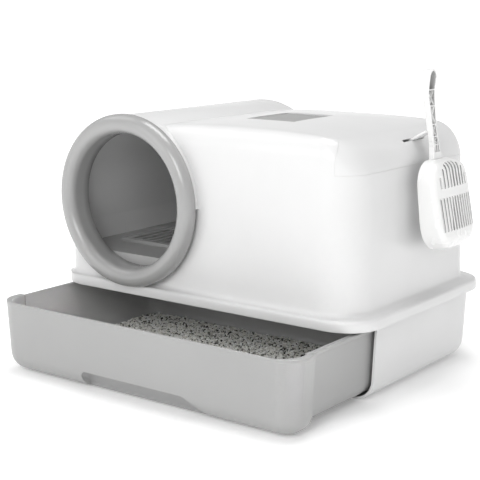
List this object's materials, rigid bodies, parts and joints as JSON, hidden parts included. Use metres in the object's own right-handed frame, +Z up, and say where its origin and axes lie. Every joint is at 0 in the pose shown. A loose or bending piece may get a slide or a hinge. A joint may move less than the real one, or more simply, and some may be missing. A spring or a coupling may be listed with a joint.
{
  "type": "drawer litter box",
  "caption": "Hooded litter box with a flared round entrance on a tunnel, a pull-out litter drawer, a flip-up lid with a deodorant box and a scoop hung on its shoulder.",
  "frame": {"origin": "on the floor, at the centre of the hood's skirt, on the middle foot", "axes": "+X to the right seen from the entrance and drawer front, +Y to the back, +Z up"},
  "size_m": [0.5766, 0.503, 0.4386],
  "materials": {
    "white_shell": "white injection-moulded plastic, satin gloss",
    "white_gloss": "white injection-moulded plastic, glossy",
    "grey_shell": "warm grey injection-moulded plastic, satin",
    "grey_gloss": "warm grey injection-moulded plastic, glossy",
    "foot_rubber": "dark grey anti-slip rubber",
    "screw_steel": "plain zinc-plated steel",
    "carbon": "black carbon fleece",
    "litter": "loose grey-brown plant litter granules"
  },
  "bodies": {
    "base": {"base_tub": "white_shell", "base_feet": "foot_rubber"},
    "drawer": {"drawer_tub": "grey_shell", "litter_bed": "litter"},
    "hood": {"hood_shell": "white_shell", "entrance_ring": "grey_gloss", "ring_lock": "grey_shell", "tunnel_tray": "grey_shell", "tray_screws": "screw_steel", "partition_wall": "grey_shell", "partition_screws": "screw_steel", "lid_pin_left": "screw_steel", "lid_pin_right": "screw_steel"},
    "grate": {"sand_grate": "grey_shell"},
    "lid": {"flip_lid": "white_shell", "filter_box": "grey_shell", "carbon_filter": "carbon", "cover_pin": "screw_steel"},
    "filter_cover": {"filter_cover": "grey_gloss"},
    "scoop": {"scoop": "white_gloss"}
  },
  "joints": [
    {"name": "drawer_slide", "type": "slide", "parent": "base", "child": "drawer", "axis": [0, 1, 0], "range_m": [-0.12, 0.148]},
    {"name": "hood_lift", "type": "slide", "parent": "base", "child": "hood", "axis": [0, 0, 1], "range_m": [0, 0.25]},
    {"name": "lid_hinge", "type": "hinge", "parent": "hood", "child": "lid", "pos_m": [0, 0.1719, 0.3104], "axis": [-1, 0, 0], "range_deg": [0, 100]},
    {"name": "filter_cover_hinge", "type": "hinge", "parent": "lid", "child": "filter_cover", "pos_m": [0.0188, 0, 0.3631], "axis": [0, -1, 0], "range_deg": [0, 95]},
    {"name": "grate_lift", "type": "slide", "parent": "hood", "child": "grate", "axis": [0, 0, 1], "range_m": [0, 0.03]},
    {"name": "scoop_lift", "type": "slide", "parent": "lid", "child": "scoop", "axis": [0.866, 0, 0.5], "range_m": [0, 0.06]}
  ]
}
